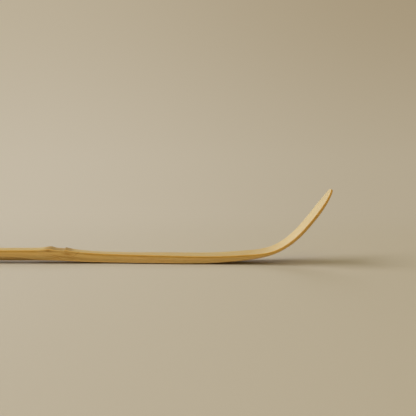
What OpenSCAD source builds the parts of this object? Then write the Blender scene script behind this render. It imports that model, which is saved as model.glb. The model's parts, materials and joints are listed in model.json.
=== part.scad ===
// Bamboo tea scoop, carved from one strip of a split cane and bent up at its blade.
// The cane's smooth outer skin is the upper side all the way from the butt to the tip.
// X runs along the scoop towards the blade, Y across it and Z up. The origin is the
// bottom centre of the scoop's box as it lies on a table. Millimetres and degrees.
//
// A station is a distance along the strip from the middle of the cane's node: negative
// on the handle, positive towards the blade. Heights in a section are above its underside.

/* [Lengths] */
// Butt end to the middle of the node, along the strip
back_l = 86; // [76:1:96]
// Middle of the node to the tip, along the strip
front_l = 95.8; // [93:0.1:110]

/* [Widths] */
// Width at the cut butt end
butt_w = 4; // [3.6:0.1:5.2]
// Width at the middle of the handle
handle_w = 4.1; // [3.7:0.1:5.4]
// Width at the node
node_w = 4.2; // [3.9:0.1:5.8]
// Width at the waist, the narrowest place, in front of the node
waist_w = 3.9; // [3.5:0.1:4.8]
// Station of the waist
waist_at = 13; // [10:0.5:17]
// Width at the heel, where the underside leaves the table
heel_w = 6; // [5:0.1:6.6]
// Width at the start of the main bend
bend_w = 7.7; // [7:0.1:8.8]
// Greatest width of the blade
blade_w = 11.1; // [9.6:0.1:12.4]

/* [Thickness] */
// Thickness at the cut butt end, at the side edges
butt_t = 3.45; // [3:0.05:4]
// Thickness of the handle just behind the node
handle_t = 3.85; // [3.4:0.05:4.3]
// Thickness of the shaft in front of the node
shaft_t = 3.12; // [2.8:0.02:3.4]
// Thickness at the heel
heel_t = 2.72; // [2.4:0.02:3]
// Thickness at the start of the main bend
bend_t = 2.12; // [1.8:0.02:2.4]
// Thickness of the blade
blade_t = 1.18; // [1:0.02:1.36]
// Thickness at the tip
tip_t = 0.72; // [0.7:0.01:0.9]
// Thickness of the hard outer skin layer
skin_t = 0.4; // [0.3:0.02:0.44]

/* [Bend] */
// Station of the heel, where the gentle rise starts
heel_at = 38; // [34:1:44]
// Length of the gentle rise
rise_l = 27.5; // [22:0.5:34]
// Angle of the gentle rise
rise_deg = 8.5; // [4:0.1:12]
// Station where the main bend starts
bend_at = 58.4; // [56:0.1:62]
// Length of the main bend
bend_l = 25.5; // [20:0.5:28]
// Angle of the main bend
bend_deg = 42; // [30:1:50]
// Further slow curl from the main bend to the tip
curl_deg = 12.8; // [0:0.1:18]

/* [Blade] */
// Station where the blade reaches its own thickness
blade_at = 71; // [67:0.5:75]
// Length of the rounded end of the blade
tip_round_l = 9.2; // [6:0.2:11]
// Roundness of the tip's outline: 1 is a point, 2 an ellipse
tip_full = 2.35; // [1.6:0.05:2.8]
// Softness of the shoulders where the rounded end starts: 1 is a corner
shoulder_soft = 1.85; // [1.3:0.05:2.2]
// Depth of the shallow groove along the blade's inner face
groove_d = 0.25; // [0:0.01:0.28]
// Depth of the groove at the heel
heel_groove_d = 0.1; // [0:0.01:0.2]
// Height by which the blade's back is rounded at its edges
back_round_h = 0.12; // [0:0.01:0.15]

/* [Handle] */
// Height of the handle's rounded crown, left from the round cane
crown_h = 0.3; // [0.1:0.02:0.5]
// Height of the hollow under the handle and node
arch_h = 0.45; // [0.2:0.05:0.8]
// Length over which the hollow grows from the butt end
arch_back_l = 35; // [25:1:50]
// Station where the hollow starts to fade towards the table
arch_at = -8; // [-14:1:-4]
// Length over which the hollow fades
arch_front_l = 34; // [28:1:38]

/* [Node] */
// Station of the crest of the node's ridge
ridge_at = -2.2; // [-3:0.1:-1.6]
// Height of the ridge over the handle
ridge_h = 0.52; // [0.3:0.02:0.8]
// Length of the ridge's long slope, towards the handle
ridge_back_l = 2.5; // [2:0.1:3.4]
// Length of the ridge's short slope, towards the blade
ridge_front_l = 1.3; // [0.9:0.1:1.6]
// Length of the ridge piece behind its crest
ridge_tail_l = 4.6; // [3.6:0.2:6]
// Length of the ridge piece in front of its crest
ridge_nose_l = 1.8; // [1.4:0.1:2.2]
// Depth of the dip in the band between ridge and scar
band_dip = 0.06; // [0:0.02:0.2]
// Station of the lip of the sheath scar
scar_at = 2.7; // [2.4:0.1:3.4]
// Height of the lip
scar_h = 0.32; // [0.1:0.02:0.4]
// Length of the lip's steep back
scar_lip_l = 0.5; // [0.3:0.05:0.7]
// Length of the scar piece behind its lip
scar_tail_l = 0.7; // [0.7:0.1:1]
// Length of the lip's slope towards the blade
scar_slope_l = 1.8; // [1:0.1:2.4]
// Length of the scar piece in front of its lip
scar_nose_l = 3.4; // [2.4:0.2:5]
// Length over which the handle's extra thickness dies away in front of the scar
flare_l = 5.4; // [3:0.2:7]
// Share of the ridge's and lip's height that is left at the side edges
ridge_edge_share = 0.8; // [0.5:0.05:1]

/* [Edges] */
// Radius of the upper edges
top_r = 0.3; // [0.15:0.01:0.34]
// Height of the rounded bevel along the lower edges
bevel_h = 0.6; // [0.3:0.05:0.8]
// Width of that bevel across the underside
bevel_w = 1.1; // [0.6:0.05:1.3]

/* [Hidden] */

// Where the pieces of the skin meet, from the butt to the tip
ridge_from = ridge_at - ridge_tail_l;
ridge_to = ridge_at + ridge_nose_l;
scar_from = scar_at - scar_tail_l;
scar_to = scar_at + scar_nose_l;
bend_end = bend_at + bend_l;
widest_at = front_l - tip_round_l;
handle_at = -back_l / 2;

// Distance from the last section to the very tip
tip_gap = 0.05;

// The largest shares of the width, of the wall's side and of the skin's side that a
// rounded edge takes
edge_w_share = 0.3;
wall_edge_share = 0.5;
skin_edge_share = 0.75;

// Steps of a section's flat sides and of its rounded edges, and of the bent line
across_n = 10;
round_n = 3;
path_step = 0.25;

function smooth(t) = let (u = min(max(t, 0), 1)) u * u * (3 - 2 * u);
function mix(a, b, t) = a + (b - a) * t;

// A smooth curve through [station, value] stops, level where it turns
function stop_slope(stops, i) =
    let (a = stops[max(i - 1, 0)], m = stops[i], b = stops[min(i + 1, len(stops) - 1)],
         inner = i > 0 && i < len(stops) - 1,
         turns_here = inner && (m[1] - a[1]) * (b[1] - m[1]) <= 0)
    turns_here ? 0 : (b[1] - a[1]) / (b[0] - a[0]);
function curve(s, stops) =
    let (k = max([for (i = [0 : len(stops) - 2]) if (i == 0 || stops[i][0] <= s) i]),
         a = stops[k],
         b = stops[k + 1],
         l = b[0] - a[0],
         t = min(max((s - a[0]) / l, 0), 1),
         bow_a = stop_slope(stops, k) * l * t * (1 - t) * (1 - t),
         bow_b = stop_slope(stops, k + 1) * l * t * t * (1 - t))
    mix(a[1], b[1], smooth(t)) + bow_a - bow_b;

width_stops = [[-back_l, butt_w], [handle_at, handle_w], [0, node_w], [waist_at, waist_w],
               [heel_at, heel_w], [bend_at, bend_w], [bend_end, blade_w],
               [front_l, blade_w]];
shaft_stops = [[0, shaft_t], [heel_at, heel_t], [bend_at, bend_t], [blade_at, blade_t],
               [widest_at, blade_t], [front_l, tip_t]];
crown_stops = [[-back_l, crown_h], [0, crown_h], [waist_at, 0], [heel_at, -heel_groove_d],
               [bend_at, -groove_d], [front_l, -groove_d]];

// How much of the full width is left in the rounded end: 1 before it, 0 at the tip
function tip_share(s) =
    let (t = max((s - widest_at) / tip_round_l, 0))
    pow(1 - pow(t, shoulder_soft), 1 / tip_full);
function width(s) = curve(s, width_stops) * tip_share(s);

// Thickness at the side edges, without the ridge and the lip
function handle_thick(s) = mix(butt_t, handle_t, smooth((s + back_l) / back_l));
function thick(s) =
    s <= scar_at ? handle_thick(s)
    : curve(s, shaft_stops)
      + (handle_thick(scar_at) - curve(scar_at, shaft_stops)) * exp((scar_at - s) / flare_l);

// Height of the crown over the side edges, negative where it is a groove
function crown(s) = curve(s, crown_stops) * tip_share(s);
function back_round(s) = back_round_h * smooth((s - heel_at) / rise_l) * tip_share(s);

// Rise of the underside over the table under the handle
function arch(s) =
    arch_h * smooth((s + back_l) / arch_back_l) * (1 - smooth((s - arch_at) / arch_front_l));

// Ridge, dip and lip of the node, over the plain upper side
function hump(s, at, back, front) = exp(-pow((s - at) / (s < at ? back : front), 2));
function relief(s) =
    ridge_h * hump(s, ridge_at, ridge_back_l, ridge_front_l)
    - band_dip * hump(s, scar_from, scar_tail_l, scar_tail_l)
    + scar_h * (s < scar_at ? smooth((s - scar_at + scar_lip_l) / scar_lip_l)
                            : exp((scar_at - s) / scar_slope_l));

// The bent line of the underside, from the heel to the tip
function tilt(s) =
    rise_deg * smooth((s - heel_at) / rise_l)
    + bend_deg * smooth((s - bend_at) / bend_l)
    + curl_deg * max((s - bend_end) / (front_l - bend_end), 0);
path = [for (s = heel_at, x = heel_at, z = 0;
             s < front_l + path_step;
             x = x + path_step * cos(tilt(s + path_step / 2)),
             z = z + path_step * sin(tilt(s + path_step / 2)),
             s = s + path_step)
        [s, x, z]];
path_x = [for (p = path) [p[0], p[1]]];
path_z = [for (p = path) [p[0], p[2]]];
function line_x(s) = s < heel_at ? s : lookup(s, path_x);
function line_z(s) = s < heel_at ? arch(s) : lookup(s, path_z);

// A point of the section at station s, y across and h above the underside
function place(s, y, h) = [line_x(s) - h * sin(tilt(s)), y, line_z(s) + h * cos(tilt(s))];

// Heights of the section's three surfaces at y
function off_centre(s, y) = pow(2 * y / width(s), 2);
function back_y(s, y) = back_round(s) * off_centre(s, y);
function plain_y(s, y) = thick(s) + crown(s) * (1 - off_centre(s, y));
function seam_y(s, y) = plain_y(s, y) - skin_t;
function top_y(s, y) =
    plain_y(s, y) + relief(s) * mix(1, ridge_edge_share, off_centre(s, y));

// Radius of the upper edges, and height and width of the lower edges' bevel
function upper_r(s) = min(top_r, skin_t * skin_edge_share, width(s) * edge_w_share);
function lower_h(s) =
    min(bevel_h,
        (thick(s) - skin_t - back_round(s)) * wall_edge_share,
        width(s) * edge_w_share * bevel_h / bevel_w);
function lower_w(s) = lower_h(s) * bevel_w / bevel_h;

// The seam between wall and skin, from one side of the section to the other
function seam_points(s) =
    [for (j = [0 : across_n]) let (y = width(s) * (j / across_n - 0.5))
        place(s, y, seam_y(s, y))];

// A rounded edge: side is 1 or -1, turn runs from 0 on the side face to 90
function upper_edge(s, side, turn) =
    let (r = upper_r(s), y = width(s) / 2 - r * (1 - cos(turn)))
    place(s, side * y, top_y(s, y) - r * (1 - sin(turn)));
function lower_edge(s, side, turn) =
    let (y = width(s) / 2 - lower_w(s) * (1 - cos(turn)))
    place(s, side * y, back_y(s, y) + lower_h(s) * (1 - sin(turn)));

turns = [for (i = [0 : round_n]) 90 * i / round_n];
back_turns = [for (i = [round_n : -1 : 0]) 90 * i / round_n];

function skin_section(s) =
    let (flat = width(s) / 2 - upper_r(s))
    concat(seam_points(s),
           [for (a = turns) upper_edge(s, 1, a)],
           [for (j = [1 : across_n - 1]) let (y = flat * (1 - 2 * j / across_n))
               place(s, y, top_y(s, y))],
           [for (a = back_turns) upper_edge(s, -1, a)]);
function wall_section(s) =
    let (flat = width(s) / 2 - lower_w(s))
    concat(seam_points(s),
           [for (a = turns) lower_edge(s, 1, a)],
           [for (j = [1 : across_n - 1]) let (y = flat * (1 - 2 * j / across_n))
               place(s, y, back_y(s, y))],
           [for (a = back_turns) lower_edge(s, -1, a)]);

// An end face, as a ladder of triangles from the seam's points to the outer ones
outer_n = across_n + 1 + 2 * round_n;
function seam_foot(k) = across_n - min(max(k - round_n, 0), across_n);
ladder = [for (k = [0 : outer_n - 2])
    let (a = seam_foot(k), b = seam_foot(k + 1), c = across_n + 1 + k)
    each a == b ? [[a, c, c + 1]] : [[a, c, c + 1], [a, c + 1, b]]];
function flipped(faces) = [for (f = faces) [f[0], f[2], f[1]]];
function moved_up(faces, n) = [for (f = faces) [f[0] + n, f[1] + n, f[2] + n]];

// Sections joined into a closed solid. The skin's sections run the other way round.
module loft(sections, skin) {
    n = len(sections[0]);
    last = len(sections) - 1;
    sides = [for (i = [0 : last - 1], j = [0 : n - 1])
        let (a = i * n + j, b = i * n + (j + 1) % n)
        each [[a, a + n, b + n], [a, b + n, b]]];
    faces = concat(sides, ladder, flipped(moved_up(ladder, last * n)));
    polyhedron(points = [for (section = sections) each section],
               faces = skin ? flipped(faces) : faces,
               convexity = 6);
}

// How many sections each stretch has
handle_n = 16;
ridge_n = 12;
band_n = 4;
lip_n = 4;
slope_n = 6;
waist_n = 6;
shaft_n = 8;
rise_n = 8;
bend_n = 16;
tip_n = 9;

// Stations of a stretch: n steps from a to b, without b itself
function steps(a, b, n) = [for (i = [0 : n - 1]) mix(a, b, i / n)];
handle_steps = steps(-back_l, ridge_from, handle_n);
ridge_steps = steps(ridge_from, ridge_to, ridge_n);
band_steps = steps(ridge_to, scar_from, band_n);
scar_steps = concat(steps(scar_from, scar_at, lip_n), steps(scar_at, scar_to, slope_n));
shaft_steps = concat(steps(scar_to, waist_at, waist_n), steps(waist_at, heel_at, shaft_n));
bend_steps = concat(steps(heel_at, bend_at, rise_n), steps(bend_at, widest_at, bend_n));
// The sections of the rounded end draw together towards the tip
round_steps = [for (i = [0 : tip_n])
    front_l - tip_gap - (tip_round_l - tip_gap) * pow(1 - i / tip_n, 2)];
blade_steps = concat(shaft_steps, bend_steps, round_steps);
all_steps = concat(handle_steps, ridge_steps, band_steps, scar_steps, blade_steps);

// The box's middle lies between the butt end and the foremost point of the tip
foremost = max([for (p = wall_section(front_l - tip_gap)) p[0]]);
middle_x = (foremost - back_l) / 2;

module skin(stations) {
    translate([-middle_x, 0, 0])
        loft([for (s = stations) skin_section(s)], true);
}

// The woody wall of the cane, under the skin, in one length from butt to tip
module culm_wall() {
    color("#b98f4e")
        translate([-middle_x, 0, 0])
            loft([for (s = all_steps) wall_section(s)], false);
}

// Hard outer skin over the handle
module handle_skin() {
    color("#c9a56b") skin(concat(handle_steps, [ridge_from]));
}

// The raised ring of the node
module nodal_ridge() {
    color("#b98a48") skin(concat(ridge_steps, [ridge_to]));
}

// The short band between the ridge and the sheath scar
module intranode_band() {
    color("#ad8750") skin(concat(band_steps, [scar_from]));
}

// The lip where the cane's sheath was joined
module sheath_scar() {
    color("#a98246") skin(concat(scar_steps, [scar_to]));
}

// Hard outer skin over the shaft, the bend and the inside of the blade
module blade_skin() {
    color("#dcc28e") skin(blade_steps);
}

culm_wall();
handle_skin();
nodal_ridge();
intranode_band();
sheath_scar();
blade_skin();
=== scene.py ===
# %% [markdown]
# A tea scoop carved from one strip of bamboo.
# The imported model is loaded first. It is a fixed frame: every piece made below has to sit
# in the place of a solid of that model, so the solids' own boxes give the main places.

# %% Load the frame
import json
import math

import bmesh
import bpy
import numpy as np
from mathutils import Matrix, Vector


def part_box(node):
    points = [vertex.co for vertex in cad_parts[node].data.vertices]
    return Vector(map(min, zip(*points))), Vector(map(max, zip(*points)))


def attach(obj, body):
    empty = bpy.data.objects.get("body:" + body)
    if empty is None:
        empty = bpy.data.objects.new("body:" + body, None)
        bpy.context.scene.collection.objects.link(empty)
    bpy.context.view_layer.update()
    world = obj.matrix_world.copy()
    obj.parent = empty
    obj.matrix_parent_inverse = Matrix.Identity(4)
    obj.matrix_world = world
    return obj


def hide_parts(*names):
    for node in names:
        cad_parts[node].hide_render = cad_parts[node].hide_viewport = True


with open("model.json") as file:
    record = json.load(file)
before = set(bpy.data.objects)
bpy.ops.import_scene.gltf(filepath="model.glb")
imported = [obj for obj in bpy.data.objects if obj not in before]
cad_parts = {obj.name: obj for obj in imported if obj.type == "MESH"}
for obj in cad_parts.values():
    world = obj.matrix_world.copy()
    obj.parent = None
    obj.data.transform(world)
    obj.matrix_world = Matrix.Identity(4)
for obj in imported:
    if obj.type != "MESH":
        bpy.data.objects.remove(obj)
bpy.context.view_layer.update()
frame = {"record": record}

# %% [markdown]
# The camera comes first, because the rest is judged through it. The photograph looks along
# +Y from a little above the table, with a long lens, so the scoop shows almost from the
# side and its butt end is outside the picture. A lens of 76.5 mm on a 36 mm sensor gives
# the gentle perspective of such a picture.

# %% Camera
MM = 0.001
CAMERA_AT = Vector((47.25, -274.1, 56.38)) * MM
CAMERA_DOWN = math.radians(8.1)
LENS_MM = 76.52
SENSOR_MM = 36.0


def make_camera():
    data = bpy.data.cameras.new("camera")
    data.lens = LENS_MM
    data.sensor_width = SENSOR_MM
    data.clip_start = 0.01
    data.clip_end = 20.0
    camera = bpy.data.objects.new("camera", data)
    camera.location = CAMERA_AT
    camera.rotation_euler = (math.pi / 2 - CAMERA_DOWN, 0, 0)
    bpy.context.scene.collection.objects.link(camera)
    bpy.context.scene.camera = camera
    return camera


camera = make_camera()
print("camera at", [round(v, 4) for v in camera.location])

# %% [markdown]
# The scoop's shape is described as a carver would: by stations along the strip, counted in
# millimetres from the middle of the cane's node, and by the section at each station. A
# section has a width, a thickness, a crown or a groove on top, and rounded edges. The
# values are the driving sizes of the construction, and the ends come from the frame.

# %% Sizes of the strip
BACK_L = 86.0
FRONT_L = 95.8
BUTT_W, HANDLE_W, NODE_W, WAIST_W, HEEL_W, BEND_W, BLADE_W = 4.0, 4.1, 4.2, 3.9, 6.0, 7.7, 11.1
WAIST_AT, HEEL_AT, BEND_AT, BLADE_AT = 13.0, 38.0, 58.4, 71.0
BUTT_T, HANDLE_T, SHAFT_T, HEEL_T, BEND_T, BLADE_T, TIP_T = 3.45, 3.85, 3.12, 2.72, 2.12, 1.18, 0.72
SKIN_T = 0.4
RISE_L, RISE_DEG = 27.5, 8.5
BEND_L, BEND_DEG, CURL_DEG = 25.5, 42.0, 12.8
TIP_ROUND_L, TIP_FULL, SHOULDER_SOFT = 9.2, 2.35, 1.85
GROOVE_D, HEEL_GROOVE_D, BACK_ROUND_H, CROWN_H = 0.25, 0.1, 0.12, 0.3
ARCH_H, ARCH_BACK_L, ARCH_AT, ARCH_FRONT_L = 0.45, 35.0, -8.0, 34.0
TOP_R, BEVEL_H, BEVEL_W = 0.3, 0.6, 1.1
EDGE_W_SHARE, WALL_EDGE_SHARE, SKIN_EDGE_SHARE = 0.3, 0.5, 0.75

BEND_END = BEND_AT + BEND_L
WIDEST_AT = FRONT_L - TIP_ROUND_L
node_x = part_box("culm_wall")[0].x / MM + BACK_L


def station_of(node, end):
    """The station at which a piece of the skin behind the waist starts (0) or ends (1)."""
    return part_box(node)[end].x / MM - node_x


RIDGE_FROM, RIDGE_TO = station_of("nodal_ridge", 0), station_of("nodal_ridge", 1)
SCAR_FROM, SCAR_TO = station_of("sheath_scar", 0), station_of("sheath_scar", 1)
print("ridge", round(RIDGE_FROM, 2), round(RIDGE_TO, 2), "scar", round(SCAR_FROM, 2), round(SCAR_TO, 2))

# %% [markdown]
# Widths and thicknesses flow from stop to stop along smooth curves. The curve is level
# where the value turns, so the waist and the widest place come out without a ripple.


# %% Curves through stops
def smooth(t):
    t = np.clip(t, 0.0, 1.0)
    return t * t * (3.0 - 2.0 * t)


def curve(s, stops):
    at, value = np.array(stops, dtype=float).T
    rise, run = np.diff(value), np.diff(at)
    slope = np.concatenate([
        rise[:1] / run[:1],
        np.where(rise[:-1] * rise[1:] <= 0, 0.0, (rise[:-1] + rise[1:]) / (run[:-1] + run[1:])),
        rise[-1:] / run[-1:],
    ])
    k = np.clip(np.searchsorted(at, s, side="right") - 1, 0, len(at) - 2)
    t = np.clip((s - at[k]) / run[k], 0.0, 1.0)
    bow = slope[k] * t * (1 - t) ** 2 - slope[k + 1] * t * t * (1 - t)
    return value[k] + rise[k] * smooth(t) + run[k] * bow


WIDTH_STOPS = [(-BACK_L, BUTT_W), (-BACK_L / 2, HANDLE_W), (0, NODE_W), (WAIST_AT, WAIST_W),
               (HEEL_AT, HEEL_W), (BEND_AT, BEND_W), (BEND_END, BLADE_W), (FRONT_L, BLADE_W)]
SHAFT_STOPS = [(0, SHAFT_T), (HEEL_AT, HEEL_T), (BEND_AT, BEND_T), (BLADE_AT, BLADE_T),
               (WIDEST_AT, BLADE_T), (FRONT_L, TIP_T)]
CROWN_STOPS = [(-BACK_L, CROWN_H), (0, CROWN_H), (WAIST_AT, 0), (HEEL_AT, -HEEL_GROOVE_D),
               (BEND_AT, -GROOVE_D), (FRONT_L, -GROOVE_D)]
print("width at the waist", round(float(curve(WAIST_AT, WIDTH_STOPS)), 2), "mm")

# %% [markdown]
# A knife leaves long, shallow facets and never an exactly even width. The sums of a few
# sines below stand for that hand work, which is a few hundredths of a millimetre deep. In
# the photograph light shows under the handle, so its underside is hollowed by another third
# of a millimetre, and only a short flat under the shaft stays as it is, because the scoop
# rests on it. All of this takes material away, so the piece never grows out of its solid.

# %% Hand-carved unevenness
KNIFE_D = 0.03
FLAT_AT, FLAT_HALF_L, FLAT_EASE_L = 32.0, 7.0, 6.0
HOLLOW_D, HOLLOW_FROM, HOLLOW_BACK_L = 0.36, -45.0, 25.0
HOLLOW_TO, HOLLOW_FRONT_L = -2.0, 14.0
END_ROUND = 0.12


def ripple(*waves):
    """A value between 0 and 1 from a few sines."""
    return 0.5 + 0.5 * sum(np.sin(w) for w in waves) / len(waves)


def side_cut(s, side):
    return KNIFE_D * ripple(0.19 * s + side, 0.53 * s + 2.1 * side, 1.27 * s - 1.4 * side)


def hollow(s):
    """How much deeper the underside is cut between the butt and the node."""
    grow = smooth((s - HOLLOW_FROM) / HOLLOW_BACK_L)
    return HOLLOW_D * grow * (1 - smooth((s - HOLLOW_TO) / HOLLOW_FRONT_L))


def back_cut(s):
    lifted = smooth((np.abs(s - FLAT_AT) - FLAT_HALF_L) / FLAT_EASE_L)
    return KNIFE_D * lifted * ripple(0.23 * s + 0.7, 0.61 * s, 1.4 * s + 2.0) + hollow(s)


def end_round(s):
    """How far the cut edges are eased at the butt end."""
    return END_ROUND * np.clip(1 - (s + BACK_L) / (2 * END_ROUND), 0, 1) ** 2


print("hollow behind the node", round(float(hollow(-10.0)), 2), "mm")

# %% [markdown]
# These functions give the section at a station. They follow the construction, with the
# knife's unevenness taken off. The handle is thicker than the shaft, and the step between
# them is hidden in the lip of the node and runs out in front of it in a flare.


# %% The section
def tip_share(s):
    """How much of the width is left at the rounded tip."""
    t = np.clip((s - WIDEST_AT) / TIP_ROUND_L, 0, 1)
    return (1 - t ** SHOULDER_SOFT) ** (1 / TIP_FULL)


def half_width(s, side):
    full = curve(s, WIDTH_STOPS) * tip_share(s)
    return full / 2 - side_cut(s, side) * tip_share(s) - end_round(s)


def handle_thick(s):
    return BUTT_T + (HANDLE_T - BUTT_T) * smooth((s + BACK_L) / BACK_L)


LIP_AT = 2.7
FLARE_L = 5.4


def thick(s):
    step = handle_thick(LIP_AT) - curve(LIP_AT, SHAFT_STOPS)
    front = curve(s, SHAFT_STOPS) + step * np.exp(-np.maximum(s - LIP_AT, 0) / FLARE_L)
    return np.where(s <= LIP_AT, handle_thick(s), front)


print("thickness behind the node", round(float(thick(-5.0)), 2), "mm")

# %% [markdown]
# The top is crowned on the handle and slightly hollow on the blade, and beyond the heel the
# underside is rounded up at its sides. Both depend on how far a point is off the middle.


# %% Top and underside
def off_centre(s, y):
    """0 in the middle of the strip and 1 at its sides."""
    full = np.maximum(curve(s, WIDTH_STOPS) * tip_share(s), 1e-6)
    return (2 * y / full) ** 2


def plain_top(s, y):
    return thick(s) + curve(s, CROWN_STOPS) * tip_share(s) * (1 - off_centre(s, y))


def back_rounding(s):
    return BACK_ROUND_H * smooth((s - HEEL_AT) / RISE_L) * tip_share(s)


def back_height(s, y):
    return back_rounding(s) * off_centre(s, y) + back_cut(s) + end_round(s)


print("middle of the blade's top at height", round(float(plain_top(80.0, 0.0)), 2), "mm")

# %% [markdown]
# The node is what makes the scoop look like bamboo. Its ridge is a soft swelling with a
# worn crest that wanders a little across the strip. In front of it, the sheath scar is a
# thin torn lip, steep towards the handle, with small chips in it. Both are modelled in the
# height of the top and not painted, so they also catch the light and show in the outline.

# %% Ridge and scar
RIDGE_AT, RIDGE_H, RIDGE_BACK_L, RIDGE_FRONT_L = -2.2, 0.52, 2.5, 1.3
LIP_H, LIP_BACK_L, LIP_SLOPE_L = 0.32, 0.5, 1.8
BAND_DIP, BAND_TAIL_L = 0.06, 0.7
EDGE_SHARE = 0.8


def hump(x, back, front):
    """A soft hump, with a length of its own behind and in front."""
    return np.exp(-((x / np.where(x < 0, back, front)) ** 2))


def relief(s, y):
    """Height of the node over the plain top."""
    ridge_x = s - RIDGE_AT - 0.16 * np.sin(1.9 * y + 0.5) - 0.06 * np.sin(5.1 * y)
    ridge = RIDGE_H * hump(ridge_x, RIDGE_BACK_L, RIDGE_FRONT_L)
    worn = 1 - 0.1 * ripple(3.1 * y + 1.0, 2.3 * ridge_x + 7.3 * y) * hump(ridge_x, 1.5, 1.0)
    lip_x = s - LIP_AT - 0.08 * np.sin(2.3 * y + 2.0) - 0.05 * np.sin(6.7 * y + 0.4)
    slope = np.exp(-np.maximum(lip_x, 0) / LIP_SLOPE_L)
    lip = np.where(lip_x < 0, smooth(1 + lip_x / LIP_BACK_L), slope)
    chips = smooth(ripple(4.3 * y + 0.8, 7.9 * y + 2.0) * 2 - 1.1)
    chipped = 1 - 0.35 * chips * hump(lip_x, 0.5, 0.7)
    dip = BAND_DIP * hump(s - LIP_AT + BAND_TAIL_L, BAND_TAIL_L, BAND_TAIL_L)
    edge = 1 - (1 - EDGE_SHARE) * off_centre(s, y)
    return (ridge * worn + LIP_H * lip * chipped - dip) * edge


def top_height(s, y):
    return plain_top(s, y) + relief(s, y) - end_round(s)


print("ridge stands", round(float(relief(np.array(RIDGE_AT), np.array(0.0))), 2), "mm proud")

# %% [markdown]
# Bamboo is bent over heat: the fibres stay whole and follow the bend. So the blank is
# shaped straight first, and each point is then carried to the bent line of the underside.

# %% The bend
PATH_STEP = 0.1


def tilt(s):
    return np.radians(
        RISE_DEG * smooth((s - HEEL_AT) / RISE_L)
        + BEND_DEG * smooth((s - BEND_AT) / BEND_L)
        + CURL_DEG * np.maximum((s - BEND_END) / (FRONT_L - BEND_END), 0)
    )


path_s = np.arange(HEEL_AT, FRONT_L + PATH_STEP, PATH_STEP)
middle = tilt(path_s[:-1] + PATH_STEP / 2)
path_x = HEEL_AT + np.concatenate([[0], np.cumsum(np.cos(middle))]) * PATH_STEP
path_z = np.concatenate([[0], np.cumsum(np.sin(middle))]) * PATH_STEP


def arch(s):
    grow = smooth((s + BACK_L) / ARCH_BACK_L)
    return ARCH_H * grow * (1 - smooth((s - ARCH_AT) / ARCH_FRONT_L))


def place(s, y, h):
    """Points in metres, in the frame, of the strip's coordinates in millimetres."""
    x = np.where(s < HEEL_AT, s, np.interp(s, path_s, path_x))
    z = np.where(s < HEEL_AT, arch(s), np.interp(s, path_s, path_z))
    bent = np.stack([x - h * np.sin(tilt(s)) + node_x, y, z + h * np.cos(tilt(s))], -1)
    return bent * MM


print("tip at", [round(float(v) / MM, 2) for v in place(FRONT_L, 0.0, 0.0)], "mm")

# %% [markdown]
# Each piece is a closed bar. Its section is a chain of points that starts along the seam
# between wall and skin, and goes back round the outside. The first functions say where the
# seam lies and how much room the edges have, so that they never meet on the thin blade.

# %% Seam and edges
SEAM_N, SIDE_N, ROUND_N, BEVEL_N, FACE_N = 16, 22, 6, 10, 26


def edge_room(s):
    return EDGE_W_SHARE * (half_width(s, 1) + half_width(s, -1))


def upper_r(s):
    return np.minimum(np.minimum(TOP_R, SKIN_T * SKIN_EDGE_SHARE), edge_room(s))


def lower_h(s):
    wall_side = (thick(s) - SKIN_T - back_rounding(s)) * WALL_EDGE_SHARE
    return np.minimum(np.minimum(BEVEL_H, wall_side), edge_room(s) * BEVEL_H / BEVEL_W)


def across(s, t):
    """y at share t of the width, from -1 on the near side to 1 on the far side."""
    return np.where(t < 0, half_width(s, -1) * t, half_width(s, 1) * t)


def seam_height(s, y):
    return plain_top(s, y) - SKIN_T


def seam_chain(s):
    return [(across(s, t), seam_height(s, across(s, t))) for t in np.linspace(-1, 1, SEAM_N + 1)]


print("lower edge at the node", round(float(lower_h(0.0)), 2), "and at the blade",
      round(float(lower_h(85.0)), 2), "mm high")

# %% [markdown]
# The skin's section goes along the seam, up the short side, round the worn edge and back
# over the top. The edge has more points than the flat stretches, because it catches light.


# %% Section of the skin
def skin_chain(s):
    r = upper_r(s)
    chain = []
    for side in (1, -1):
        edge = half_width(s, side)
        start = side * edge
        low, high = seam_height(s, start), top_height(s, start) - r
        rim = [(start, low + (high - low) * t) for t in (1 / 3, 2 / 3)]
        for turn in np.radians(np.linspace(0, 90, ROUND_N + 1)):
            y = side * (edge - r * (1 - math.cos(turn)))
            rim.append((y, top_height(s, y) - r * (1 - math.sin(turn))))
        chain.append(rim)
    right, left = chain[0][-1][0], chain[1][-1][0]
    face = []
    for t in np.linspace(0, 1, FACE_N + 1)[1:-1]:
        y = right + (left - right) * t
        face.append((y, top_height(s, y)))
    return seam_chain(s) + chain[0] + face + chain[1][::-1]


print("points round the skin", len(skin_chain(0.0)))

# %% [markdown]
# The wall's section goes down the cut side and back along the underside. Its lower edges are
# not rounded but cut off with the knife, nearly flat, and on the handle the cut starts
# higher up, where the photograph has a dark band.

# %% Section of the wall
BEVEL_SHARE, BEVEL_FLAT = 0.65, 1.7
HANDLE_CUT_H, HANDLE_CUT_AT, HANDLE_CUT_L = 0.95, -4.0, 9.0


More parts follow.
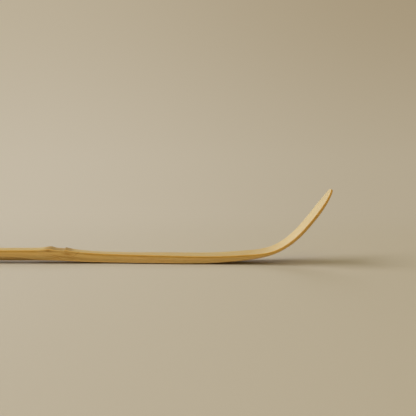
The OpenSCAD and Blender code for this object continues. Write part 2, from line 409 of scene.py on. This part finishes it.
def wall_chain(s):
    wide_r = lower_h(s) * BEVEL_W / BEVEL_H
    high_r = lower_h(s) * BEVEL_SHARE + HANDLE_CUT_H * smooth((HANDLE_CUT_AT - s) / HANDLE_CUT_L)
    chain = []
    for side in (1, -1):
        edge = half_width(s, side)
        start = side * edge
        high, low = seam_height(s, start), back_height(s, start) + high_r
        rim = [(start, high + (low - high) * t) for t in np.linspace(0, 1, SIDE_N + 1)[1:-1]]
        for turn in np.radians(np.linspace(0, 90, BEVEL_N + 1)):
            y = side * (edge - wide_r * (1 - math.cos(turn) ** BEVEL_FLAT))
            rim.append((y, back_height(s, y) + high_r * (1 - math.sin(turn) ** BEVEL_FLAT)))
        chain.append(rim)
    right, left = chain[0][-1][0], chain[1][-1][0]
    face = []
    for t in np.linspace(0, 1, FACE_N + 1)[1:-1]:
        y = right + (left - right) * t
        face.append((y, back_height(s, y)))
    return seam_chain(s) + chain[0] + face + chain[1][::-1]


print("points round the wall", len(wall_chain(0.0)))

# %% [markdown]
# The grain has to run through the bend and swirl at the node, so it can't come from plain
# object coordinates. Each vertex keeps its place in the straight strip: the station, the
# place across and the depth under the top. Near the node, the fibres of the stem weave
# round those that grew into the sheath and the plate inside the cane. The function below
# bends the depth there, and pushes the lines apart round a small eye under the lip.

# %% Grain coordinates
EYE_AT, EYE_DEPTH, EYE_L, EYE_H = 3.5, 1.0, 1.3, 0.34
WEAVE_AT, WEAVE_L, WEAVE_DEPTH = 1.0, 5.0, 0.8
TURN_AT, TURN_L = 8.5, 2.2


def spot(x, at, size):
    """1 in the middle of a soft spot, and about a third at its size from there."""
    return np.exp(-(((x - at) / size) ** 2))


def eye(s, depth):
    return spot(s, EYE_AT, EYE_L) * spot(depth, EYE_DEPTH, EYE_H)


def grain_depth(s, y, depth):
    sway = 0.32 * np.sin(0.85 * s + 0.9 * depth + 0.4 * y + 0.3)
    sway += 0.16 * np.sin(1.9 * s - 1.3 * depth + 1.1 * y + 1.0)
    sway += 0.35 * spot(s, TURN_AT, TURN_L) * np.sin(1.4 * (depth - 0.4))
    apart = 0.85 * (depth - EYE_DEPTH) * eye(s, depth)
    return depth + spot(s, WEAVE_AT, WEAVE_L) * sway * smooth(depth / WEAVE_DEPTH) - apart


print("grain in the eye at depth", round(float(grain_depth(EYE_AT, 0.0, EYE_DEPTH)), 2), "mm")

# %% [markdown]
# A few marks of this strip are too single for a pattern, so masks on the vertices place
# them. Brown ones show on the near side: the heart of the eye, a patch under the crest of
# the ridge, a bent crease under the eye and a long streak low on the handle. Dark ones are
# the torn rests of the sheath on the ridge and on the lip, and a nick in the lower edge.

# %% Marks of the node
CREST_AT, CREST_L, CREST_DEPTH, CREST_H = RIDGE_AT - 0.5, 0.8, 0.1, 0.35
CREASE_S, CREASE_DEPTH, CREASE_H = (-0.7, 1.5, 4.0, 5.3, 6.8), (1.6, 2.0, 2.1, 1.5, 0.1), 0.13
CREASE_FROM, CREASE_BACK_L, CREASE_TO, CREASE_FRONT_L, CREASE_TONE = -2.0, 1.5, 7.4, 0.8, 0.9
STREAK_FROM, STREAK_BACK_L, STREAK_TO, STREAK_FRONT_L = -17.5, 2.5, -7.5, 3.0
STREAK_DEPTH, STREAK_H, STREAK_SLOPE, STREAK_MIDDLE, STREAK_TONE = 2.3, 0.12, 0.012, -12, 0.5
SHEATH_ON_RIDGE, SHEATH_ON_LIP = (-1.6, 0.45, 1.0, 1.5), (LIP_AT + 0.1, 0.5, 0.8, 1.6)
NICK_AT, NICK_L, NICK_UP, NICK_H = 7.1, 0.35, 0.35, 0.3


def brown_marks(s, y, depth):
    crest = spot(s, CREST_AT, CREST_L) * spot(depth, CREST_DEPTH, CREST_H)
    crease = spot(depth, np.interp(s, CREASE_S, CREASE_DEPTH), CREASE_H)
    crease *= smooth((s - CREASE_FROM) / CREASE_BACK_L)
    crease *= smooth((CREASE_TO - s) / CREASE_FRONT_L) * CREASE_TONE
    streak = spot(depth, STREAK_DEPTH + STREAK_SLOPE * (s - STREAK_MIDDLE), STREAK_H)
    streak *= smooth((s - STREAK_FROM) / STREAK_BACK_L)
    streak *= smooth((STREAK_TO - s) / STREAK_FRONT_L) * STREAK_TONE
    return np.maximum.reduce([eye(s, depth), crest, crease, streak]) * (y < 0)


def torn_sheath(s, y, at, long, aside, wide):
    return spot(s, at, long) * spot(y, aside, wide)


def dark_marks(s, y, h, depth):
    torn = np.maximum(torn_sheath(s, y, *SHEATH_ON_RIDGE), torn_sheath(s, y, *SHEATH_ON_LIP))
    nick = spot(s, NICK_AT, NICK_L) * spot(h, NICK_UP, NICK_H) * (y < 0)
    return np.maximum(torn * smooth(1.2 - depth / 0.25), nick)


def marks(s, y, h, depth):
    """The brown marks, the dark marks, and the depth under the top with its relief."""
    real_depth = top_height(s, y) - h
    return np.stack([brown_marks(s, y, depth), dark_marks(s, y, h, depth), real_depth], -1)


print("crease at the eye", round(float(np.interp(EYE_AT, CREASE_S, CREASE_DEPTH)), 2), "mm deep")

# %% [markdown]
# A piece starts as an n-sided bar, like the blank under the knife. The cone operator makes
# it with equal ends, and subdivide cuts it into slices, so no list of faces is needed.


# %% The blank
def bar(sides, slices):
    bm = bmesh.new()
    bmesh.ops.create_cone(bm, cap_ends=True, cap_tris=False, segments=sides,
                          radius1=1, radius2=1, depth=1)
    long_edges = [e for e in bm.edges if abs(e.verts[0].co.z - e.verts[1].co.z) > 0.5]
    bmesh.ops.subdivide_edges(bm, edges=long_edges, cuts=slices - 1, use_grid_fill=True)
    return bm


trial = bar(8, 3)
print("a bar of 8 sides and 3 slices has", len(trial.verts), "vertices")
trial.free()

# %% [markdown]
# Slices are close together at the node, at the tip and at the butt, where the shape changes
# fastest, and a little closer in the bend. The share of slices up to a station is the sum
# of a density up to there.

# %% Slices
AT_NODE, AT_BEND, AT_TIP, AT_BUTT = 5, 1.2, 14, 6


def slice_stations(start, end, slices):
    """Stations from start to end, close where the density is high."""
    s = np.linspace(start, end, 4000)
    density = 1 + AT_NODE * spot(s, 0.5, 6.0) + AT_BEND * smooth((s - 52) / 10)
    density += AT_TIP * smooth((s - FRONT_L + 2.5) / 2.5) + AT_BUTT * (s < -BACK_L + 0.5)
    share = np.concatenate([[0], np.cumsum((density[1:] + density[:-1]) / 2)])
    return np.interp(np.linspace(0, share[-1], slices + 1), share, s)


print("first slices at the butt", np.round(slice_stations(-BACK_L, RIDGE_FROM, 200)[:4], 2))

# %% [markdown]
# The ends of the strip are cut square. So their faces are made triangles and their rims stay
# crisp, while all the rest is smooth.


# %% Closing a piece
def closed(name, mesh):
    """Triangles on the ends, faces outwards, smooth skin with crisp ends."""
    bm = bmesh.new()
    bm.from_mesh(mesh)
    ends = [f for f in bm.faces if len(f.verts) > 4]
    rims = {e for f in ends for e in f.edges}
    bmesh.ops.triangulate(bm, faces=ends, ngon_method="BEAUTY")
    bmesh.ops.recalc_face_normals(bm, faces=bm.faces)
    for f in bm.faces:
        f.smooth = True
    for e in rims:
        e.smooth = False
    bm.to_mesh(mesh)
    bm.free()
    piece = bpy.data.objects.new(name, mesh)
    bpy.context.scene.collection.objects.link(piece)
    return piece


print("only the rims of the ends stay crisp")

# %% [markdown]
# Every vertex of the bar knows its slice from its height and its place in the chain from its
# angle. So it can be moved to its station and section, and keep its grain and its marks.


# %% Shaping a piece
def keep(mesh, name, values):
    attribute = mesh.attributes.new(name, "FLOAT_VECTOR", "POINT")
    attribute.data.foreach_set("vector", values.astype(np.float32).ravel())


def shaped(name, chain_of, start, end, slices):
    """A piece along the strip, with its grain and marks kept on the vertices."""
    stations = slice_stations(start, end, slices)
    chain = chain_of(stations)
    y_all = np.stack([np.broadcast_to(y, stations.shape) for y, h in chain], 1)
    h_all = np.stack([np.broadcast_to(h, stations.shape) for y, h in chain], 1)
    bm = bar(len(chain), slices)
    mesh = bpy.data.meshes.new(name)
    bm.to_mesh(mesh)
    bm.free()
    co = np.empty(len(mesh.vertices) * 3)
    mesh.vertices.foreach_get("co", co)
    co = co.reshape(-1, 3)
    i = np.rint((co[:, 2] + 0.5) * slices).astype(int)
    j = np.rint(np.arctan2(co[:, 1], co[:, 0]) / (2 * math.pi) * len(chain)).astype(int)
    j %= len(chain)
    s, y, h = stations[i], y_all[i, j], h_all[i, j]
    mesh.vertices.foreach_set("co", place(s, y, h).ravel())
    depth = plain_top(s, y) - h
    keep(mesh, "grain", np.stack([s, y, grain_depth(s, y, depth)], -1))
    keep(mesh, "marks", marks(s, y, h, depth))
    return closed(name, mesh)


print("each vertex keeps its grain and its marks")

# %% [markdown]
# The woody wall runs in one length from butt to tip. The skin lies on it in five stretches
# that meet face to face: over the handle, the node's ridge, the short band, the lip of the
# sheath scar, and from there over shaft and blade. Each stretch takes the place of its
# solid, and its edges follow the same functions, so no step shows between them. The wall
# and the blade's skin stop just short of the tip, where the section has no width left.

# %% Make the pieces
TIP_GAP = 0.05
STRETCHES = {
    "culm_wall": (wall_chain, -BACK_L, FRONT_L - TIP_GAP, 620),
    "handle_skin": (skin_chain, -BACK_L, RIDGE_FROM, 200),
    "nodal_ridge": (skin_chain, RIDGE_FROM, RIDGE_TO, 110),
    "intranode_band": (skin_chain, RIDGE_TO, SCAR_FROM, 44),
    "sheath_scar": (skin_chain, SCAR_FROM, SCAR_TO, 90),
    "blade_skin": (skin_chain, SCAR_TO, FRONT_L - TIP_GAP, 420),
}
pieces = {}
for node, (chain_of, start, end, slices) in STRETCHES.items():
    piece = shaped("carved_" + node, chain_of, start, end, slices)
    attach(piece, "root")
    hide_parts(node)
    pieces[node] = piece
    print(node, len(piece.data.polygons), "faces")

# %% [markdown]
# The finish is bare bamboo, rubbed smooth. Its colour depends on the depth under the
# natural surface: the skin is pale and has a soft sheen, the wall right under it is packed
# with brown fibres and reads as an orange line, and further in the fibres stand apart in
# lighter tissue. So one set of shader parts reads the depth and the grain coordinates.


# %% Shader helpers
def new_material(name):
    material = bpy.data.materials.new(name)
    material.use_nodes = True
    tree = material.node_tree
    tree.nodes.clear()
    return material, tree


def add(tree, kind, inputs=None, **settings):
    node = tree.nodes.new("ShaderNode" + kind)
    for key, value in settings.items():
        setattr(node, key, value)
    for key, value in (inputs or {}).items():
        if isinstance(value, bpy.types.NodeSocket):
            tree.links.new(value, node.inputs[key])
        else:
            node.inputs[key].default_value = value
    return node


def attribute(tree, name):
    return add(tree, "Attribute", attribute_name=name, attribute_type="GEOMETRY").outputs["Vector"]


def scaled(tree, vector, scale):
    return add(tree, "VectorMath", {0: vector, 1: scale}, operation="MULTIPLY").outputs[0]


print("helpers:", ", ".join(f.__name__ for f in (new_material, add, attribute, scaled)))

# %% [markdown]
# Masks and colours are put together from a few small steps: a noise, a soft ramp from 0 to
# 1, a mix of two colours, a product and a sum.


# %% Masks and mixes
def noise(tree, vector, detail, roughness=0.5):
    return add(tree, "TexNoise", {"Vector": vector, "Scale": 1.0, "Detail": detail,
                                  "Roughness": roughness}).outputs["Fac"]


def ramp(tree, value, low, high):
    return add(tree, "MapRange", {"Value": value, "From Min": low, "From Max": high},
               interpolation_type="SMOOTHSTEP").outputs["Result"]


def mixed(tree, share, a, b):
    node = add(tree, "Mix", data_type="RGBA")
    for socket, value in zip((node.inputs[0], node.inputs[6], node.inputs[7]), (share, a, b)):
        if isinstance(value, bpy.types.NodeSocket):
            tree.links.new(value, socket)
        else:
            socket.default_value = value
    return node.outputs[2]


def times(tree, a, b):
    return add(tree, "Math", {0: a, 1: b}, operation="MULTIPLY").outputs[0]


def plus(tree, a, b):
    return add(tree, "Math", {0: a, 1: b}, operation="ADD").outputs[0]


print("helpers:", ", ".join(f.__name__ for f in (noise, ramp, mixed, times, plus)))

# %% [markdown]
# Colours are linear. The skin is pale on the blade, gold on the handle and the shaft, and
# tan at the node. The dense pair is for the packed fibres right under it, and the tissue
# pair for the inner wall, which is lighter just under the skin of the handle. A dark colour
# paints shade along the handle's lower edge, where the side turns under. Fibres, brown marks
# and the torn sheath are darker.


# %% Colours
def colour(red, green, blue):
    return (red, green, blue, 1.0)


SKIN_PALE = colour(0.74, 0.59, 0.32)
SKIN_WARM = colour(0.71, 0.54, 0.275)
SKIN_GOLD = colour(0.57, 0.41, 0.155)
SKIN_GOLD_DEEP = colour(0.53, 0.355, 0.125)
NODE_TAN = colour(0.43, 0.28, 0.095)
NODE_DEEP = colour(0.38, 0.225, 0.06)
DENSE = colour(0.74, 0.43, 0.085)
DENSE_DEEP = colour(0.65, 0.345, 0.06)
TISSUE = colour(0.71, 0.43, 0.13)
TISSUE_GREEN = colour(0.65, 0.425, 0.135)
TISSUE_LIGHT = colour(0.84, 0.53, 0.15)
# Painted shade: the dark colour for the handle's lower edge, where the side turns under.
TISSUE_PAINTED_SHADE = colour(0.26, 0.14, 0.028)
FIBRE = colour(0.50, 0.26, 0.045)
BROWN_MARK = colour(0.46, 0.20, 0.022)
SHEATH_DARK = colour(0.13, 0.09, 0.035)
print("skin of the blade", SKIN_PALE[:3], "inner wall", TISSUE[:3])

# %% [markdown]
# Fibres are long thin strands. A noise that is almost thirty times as fine across the strip
# as along it gives fine streaks, a second one gives broad bands, and a Voronoi pattern that
# is stretched even more gives single strands, which show as dots on the cut end and as
# lines on the sides. A slow wave bends them all a little.


# %% Fibres
WAVE_H = 1.1


def fibres(tree, grain):
    wave = noise(tree, scaled(tree, grain, (0.28, 0.5, 0.7)), 2.0)
    wave = add(tree, "CombineXYZ", {"Z": times(tree, plus(tree, wave, -0.5), WAVE_H)}).outputs[0]
    grain = add(tree, "VectorMath", {0: grain, 1: wave}, operation="ADD").outputs[0]
    fine = noise(tree, scaled(tree, grain, (0.22, 6.0, 6.0)), 4.0, 0.6)
    broad = noise(tree, scaled(tree, grain, (0.05, 1.3, 1.9)), 2.0)
    cells = add(tree, "TexVoronoi", {"Vector": scaled(tree, grain, (0.035, 2.3, 2.3)), "Scale": 1.0})
    strand = ramp(tree, cells.outputs["Distance"], 0.34, 0.12)
    return fine, broad, strand


print("fibres sway within a band of", WAVE_H, "mm")

# %% [markdown]
# The skin is gold on the handle and the shaft and turns pale in the bend. At the node it is
# tan and streaked. Each change is a ramp along the stations, so it is in the same place on
# every piece that it crosses.

# %% Colour of the skin
NODE_FROM, NODE_FULL, NODE_EASE, NODE_TO = -4.6, -2.0, 3.9, 5.9
PALE_FROM, PALE_FULL = 58.0, 79.0


def between(tree, station, start, full, ease, end):
    """1 on a stretch of the strip, with a soft start and end."""
    return times(tree, ramp(tree, station, start, full), ramp(tree, station, end, ease))


def skin_colour(tree, station, at_node, fine_share, broad_share):
    gold = mixed(tree, broad_share, SKIN_GOLD, SKIN_GOLD_DEEP)
    pale = mixed(tree, broad_share, SKIN_PALE, SKIN_WARM)
    tan = mixed(tree, fine_share, NODE_DEEP, NODE_TAN)
    top = mixed(tree, ramp(tree, station, PALE_FROM, PALE_FULL), gold, pale)
    return mixed(tree, at_node, top, tan)


print("skin turns pale from", PALE_FROM, "to", PALE_FULL, "mm in front of the node")

# %% [markdown]
# The cut wall shows its layers: packed fibres right under the skin, then tissue with darker
# fibres in it. Round the node the fibres are woven, so the imported layer ends there and the
# streaks are stronger. Along the lower edge of the handle a dark colour paints shade.

# %% Colour of the wall
WOVEN_FROM, WOVEN_FULL, WOVEN_EASE, WOVEN_TO = -8.0, -4.5, 7.0, 10.0
STREAK_SHARE, WOVEN_SHARE, STRAND_SHARE = 0.35, 0.3, 0.35
LIGHT_SHARE, LIGHT_DEPTH, LIGHT_STATION = 0.5, (2.3, 0.9), (30.0, 8.0)
# Painted shade on the handle's lower edge: its share, its depths and its stations.
PAINTED_SHADE_SHARE, PAINTED_SHADE_DEPTH, PAINTED_SHADE_STATION = 0.6, (1.9, 3.4), (3.0, -11.0)
PACKED_STREAKS = (85.0, 60.0)


def tissue_colour(tree, station, depth, woven, fine, broad_share, strand):
    tissue = mixed(tree, broad_share, TISSUE, TISSUE_GREEN)
    streaked = plus(tree, times(tree, woven, WOVEN_SHARE), STREAK_SHARE)
    tissue = mixed(tree, times(tree, ramp(tree, fine, 0.6, 0.4), streaked), tissue, FIBRE)
    tissue = mixed(tree, times(tree, strand, STRAND_SHARE), tissue, FIBRE)
    upper = times(tree, ramp(tree, depth, *LIGHT_DEPTH), ramp(tree, station, *LIGHT_STATION))
    tissue = mixed(tree, times(tree, upper, LIGHT_SHARE), tissue, TISSUE_LIGHT)
    # Painted shade: the lower edge of the handle darkens towards the underside.
    under = times(tree, ramp(tree, depth, *PAINTED_SHADE_DEPTH), ramp(tree, station, *PAINTED_SHADE_STATION))
    return mixed(tree, times(tree, under, PAINTED_SHADE_SHARE), tissue, TISSUE_PAINTED_SHADE)


def packed_colour(tree, station, fine_share):
    streaked = times(tree, fine_share, ramp(tree, station, *PACKED_STREAKS))
    return mixed(tree, streaked, DENSE_DEEP, DENSE)


print("fibres are woven from", WOVEN_FROM, "to", WOVEN_TO, "mm")

# %% [markdown]
# At each point the colours come from the outside in: the colour of the skin down to where
# the wall starts, then the packed fibres, and then the tissue. The brown marks and the torn
# sheath lie over all three.

# %% Colour at a point
SKIN_TO_WALL = (0.015, 0.07)
BROWN_SHARE, SHEATH_SHARE = 0.8, 0.5
PACKED_DEPTH, TORN_FROM, TORN_FULL, TORN_FIBRES = (0.95, 0.5), 0.95, 1.3, 0.9


def body_colour(tree, masks, station, grain_z, at_node, fine, broad, strand):
    brown, dark, depth = masks
    broad_share, fine_share = ramp(tree, broad, 0.35, 0.65), ramp(tree, fine, 0.3, 0.7)
    top = skin_colour(tree, station, at_node, fine_share, broad_share)
    woven = between(tree, station, WOVEN_FROM, WOVEN_FULL, WOVEN_EASE, WOVEN_TO)
    tissue = tissue_colour(tree, station, depth, woven, fine, broad_share, strand)
    packed = times(tree, ramp(tree, grain_z, *PACKED_DEPTH), ramp(tree, woven, 1.0, 0.0))
    inner = mixed(tree, packed, tissue, packed_colour(tree, station, fine_share))
    body = mixed(tree, ramp(tree, depth, *SKIN_TO_WALL), top, inner)
    body = mixed(tree, times(tree, brown, BROWN_SHARE), body, BROWN_MARK)
    torn = ramp(tree, plus(tree, dark, times(tree, fine, TORN_FIBRES)), TORN_FROM, TORN_FULL)
    return mixed(tree, times(tree, torn, SHEATH_SHARE), body, SHEATH_DARK)


print("skin turns to wall between", *SKIN_TO_WALL, "mm under the top")

# %% [markdown]
# One material is put together for each finish of the record. They differ in the depth of the
# bump, which is the fibres' own relief, and the wall is a little rougher. The skin is nearly
# smooth, so bump and uneven gloss are faint on it and grow below it. The node is duller than
# the rest.

# %% Bamboo
ON_SKIN, BELOW_SKIN, BELOW_DEPTH = 0.08, 0.92, 0.1
UNEVEN_GLOSS, NODE_DULL, SHINE, BUMP_STRENGTH = 0.25, 0.15, 0.35, 0.5


def bamboo(name, roughness, bump_d):
    material, tree = new_material(name)
    grain = attribute(tree, "grain")
    masks = add(tree, "SeparateXYZ", {0: attribute(tree, "marks")}).outputs
    station, _, grain_z = add(tree, "SeparateXYZ", {0: grain}).outputs
    fine, broad, strand = fibres(tree, grain)
    at_node = between(tree, station, NODE_FROM, NODE_FULL, NODE_EASE, NODE_TO)
    body = body_colour(tree, masks, station, grain_z, at_node, fine, broad, strand)
    inside = ramp(tree, masks[2], 0.0, BELOW_DEPTH)
    inside = plus(tree, times(tree, inside, BELOW_SKIN), ON_SKIN)
    uneven = times(tree, plus(tree, fine, -0.5), UNEVEN_GLOSS)
    gloss = plus(tree, times(tree, uneven, inside), roughness)
    gloss = plus(tree, gloss, times(tree, at_node, NODE_DULL))
    height = plus(tree, times(tree, fine, 0.6), times(tree, strand, -0.4))
    bump = add(tree, "Bump", {"Height": times(tree, height, inside), "Strength": BUMP_STRENGTH,
                              "Distance": bump_d * MM})
    shader = add(tree, "BsdfPrincipled", {"Base Color": body, "Roughness": gloss,
                                          "Specular IOR Level": SHINE,
                                          "Normal": bump.outputs["Normal"]})
    add(tree, "OutputMaterial", {"Surface": shader.outputs[0]})
    return material


FINISHES = {
    "outer_skin": bamboo("bamboo_outer_skin", 0.45, 0.03),
    "node_skin": bamboo("bamboo_node_skin", 0.45, 0.06),
    "wall_wood": bamboo("bamboo_wall_wood", 0.5, 0.05),
}
SLOT_OF = {row["node"]: row["material_slot"] for row in frame["record"]["subparts"]}
for node, piece in pieces.items():
    piece.data.materials.append(FINISHES[SLOT_OF[node]])
print("finishes:", ", ".join(FINISHES))

# %% [markdown]
# The table and the wall behind it are one sheet of matt paper, rolled up behind the scoop,
# so no horizon shows. It is made from a single edge: its far end is spun round a quarter
# turn and drawn up, and then the whole profile is drawn out sideways.

# %% Paper sweep
SWEEP_WIDE, SWEEP_FRONT, SWEEP_BACK, SWEEP_R, SWEEP_HIGH = 8.0, -3.0, 0.5, 0.5, 2.0


def make_sweep():
    bm = bmesh.new()
    start = bm.verts.new((-SWEEP_WIDE / 2, SWEEP_FRONT, 0))
    foot = bm.verts.new((-SWEEP_WIDE / 2, SWEEP_BACK, 0))
    bm.edges.new((start, foot))
    spun = bmesh.ops.spin(bm, geom=[foot], cent=(0, SWEEP_BACK, SWEEP_R), axis=(1, 0, 0),
                          angle=math.pi / 2, steps=24, use_duplicate=False)
    last = [g for g in spun["geom_last"] if isinstance(g, bmesh.types.BMVert)]
    up = bmesh.ops.extrude_vert_indiv(bm, verts=last)["verts"]
    bmesh.ops.translate(bm, verts=up, vec=(0, 0, SWEEP_HIGH))
    wide = bmesh.ops.extrude_edge_only(bm, edges=bm.edges[:])["geom"]
    moved = [g for g in wide if isinstance(g, bmesh.types.BMVert)]
    bmesh.ops.translate(bm, verts=moved, vec=(SWEEP_WIDE, 0, 0))
    bmesh.ops.recalc_face_normals(bm, faces=bm.faces)
    for f in bm.faces:
        f.smooth = True
    mesh = bpy.data.meshes.new("paper_sweep")
    bm.to_mesh(mesh)
    bm.free()
    sweep = bpy.data.objects.new("paper_sweep", mesh)
    bpy.context.scene.collection.objects.link(sweep)
    return sweep


sweep = make_sweep()
print("sweep faces:", len(sweep.data.polygons))

# %% [markdown]
# Near the scoop the paper is an ordinary matt surface, so that it takes the shadow; its colour
# is lighter on the left and darker on the right, a painted falloff of light. Behind it the
# photograph fades evenly towards the upper right, whatever the lamps do. So there the paper
# glows with plain colours for the rays that are seen, blended between four corners: painted
# light that fades to the right and upwards. To the rays that light the scoop it stays
# ordinary paper, and it is no lamp.

# %% Paper
# Colours of the lit paper: lighter on the left, as painted light falloff.
PAPER_LEFT = colour(0.565, 0.505, 0.40)
PAPER_RIGHT = colour(0.53, 0.46, 0.335)
# Colours of the glowing paper behind: painted light, darker to the right and upwards.
FAR_LEFT = colour(0.555, 0.49, 0.385)
FAR_RIGHT = colour(0.452, 0.385, 0.275)
HIGH_LEFT = colour(0.50, 0.43, 0.315)
HIGH_RIGHT = colour(0.385, 0.31, 0.20)
PAPER_FADE = (-0.05, 0.15)
FAR_FROM, FAR_FULL = 0.02, 0.11
VIEW_X, VIEW_BACK, VIEW_ASIDE = 0.05, 0.3, 0.27
UP_FROM, UP_FULL, UP_STEEP = 0.3, 1.5, 3.0


def far_colour(tree, x, y, z):
    """Painted light: the glow's colours by the direction from one fixed place in front of the scoop."""
    aside = add(tree, "Math", {0: plus(tree, x, -VIEW_X), 1: plus(tree, y, VIEW_BACK)},
                operation="DIVIDE")
    rightward = ramp(tree, aside.outputs[0], -VIEW_ASIDE, VIEW_ASIDE)
    upward = ramp(tree, plus(tree, y, times(tree, z, UP_STEEP)), UP_FROM, UP_FULL)
    return mixed(tree, upward, mixed(tree, rightward, FAR_LEFT, FAR_RIGHT),
                 mixed(tree, rightward, HIGH_LEFT, HIGH_RIGHT))


def paper():
    material, tree = new_material("matt_paper")
    x, y, z = add(tree, "SeparateXYZ", {0: add(tree, "TexCoord").outputs["Object"]}).outputs
    # Painted light falloff: the lit paper's colour runs from lighter on the left to darker on the
    # right.
    near = mixed(tree, ramp(tree, x, *PAPER_FADE), PAPER_LEFT, PAPER_RIGHT)
    lit = add(tree, "BsdfPrincipled", {"Base Color": near, "Roughness": 0.95,
                                       "Specular IOR Level": 0.1})
    # Painted light: the glow that the paper behind shows to the rays that are seen.
    plain = add(tree, "Emission", {"Color": far_colour(tree, x, y, z), "Strength": 1.0})
    path = add(tree, "LightPath").outputs
    seen = plus(tree, plus(tree, path["Is Camera Ray"], path["Is Glossy Ray"]),
                path["Is Transmission Ray"])
    behind = times(tree, ramp(tree, y, FAR_FROM, FAR_FULL), seen)
    both = add(tree, "MixShader", {0: behind, 1: lit.outputs[0], 2: plain.outputs[0]})
    add(tree, "OutputMaterial", {"Surface": both.outputs[0]})
    material.cycles.emission_sampling = "NONE"
    return material


sweep.data.materials.append(paper())
print("paper colours from", FAR_LEFT[:3], "to", HIGH_RIGHT[:3])

# %% [markdown]
# The main light of the photograph is a large soft one on the left, half way up and in line
# with the scoop, because the blade's shadow runs straight to the right and is about as long
# as the blade is high. A weak warm lamp in front opens the side that the knife cut, and a
# cool one behind lights the top. That one makes no highlights, since it is so low that the
# whole shaft would shine. A dim amber world, darker below, fills the shadows.

# %% Lamps and world
LAMP_AIM = Vector((0.04, 0.0, 0.0))
COOL, WARM, AMBER = (0.94, 1.01, 1.27), (1.0, 0.92, 0.78), (1.0, 0.87, 0.4)
KEY_AT, KEY_SIZE, KEY_POWER = Vector((-0.53, -0.045, 0.57)), 0.75, 4.4
FILL_AT, FILL_SIZE, FILL_POWER = Vector((0.2, -0.75, 0.9)), 0.8, 1.7
BACK_AT, BACK_SIZE, BACK_POWER = Vector((0.05, 0.8, 0.5)), 0.5, 2.0
WORLD_LOW, WORLD_HIGH = 0.15, 0.5


def make_lamp(name, at, size, power, tint, shiny=True):
    data = bpy.data.lights.new(name, "AREA")
    data.shape = "DISK"
    data.size = size
    data.energy = power
    data.color = tint
    lamp = bpy.data.objects.new(name, data)
    lamp.location = at
    lamp.visible_glossy = shiny
    lamp.rotation_euler = (LAMP_AIM - at).to_track_quat("-Z", "Y").to_euler()
    bpy.context.scene.collection.objects.link(lamp)


def make_world():
    world = bpy.data.worlds.new("soft_room")
    world.use_nodes = True
    tree = world.node_tree
    height = add(tree, "SeparateXYZ", {0: add(tree, "TexCoord").outputs["Generated"]}).outputs[2]
    level = add(tree, "MapRange", {"Value": height, "To Min": WORLD_LOW, "To Max": WORLD_HIGH})
    background = tree.nodes["Background"]
    background.inputs["Color"].default_value = (*AMBER, 1.0)
    tree.links.new(level.outputs["Result"], background.inputs["Strength"])
    bpy.context.scene.world = world


make_lamp("key_lamp", KEY_AT, KEY_SIZE, KEY_POWER, COOL)
make_lamp("fill_lamp", FILL_AT, FILL_SIZE, FILL_POWER, WARM)
make_lamp("back_lamp", BACK_AT, BACK_SIZE, BACK_POWER, COOL, shiny=False)
make_world()
bpy.context.scene.view_settings.view_transform = "Standard"
print("lamps of", KEY_POWER, FILL_POWER, BACK_POWER, "W, world", WORLD_LOW, "to", WORLD_HIGH)
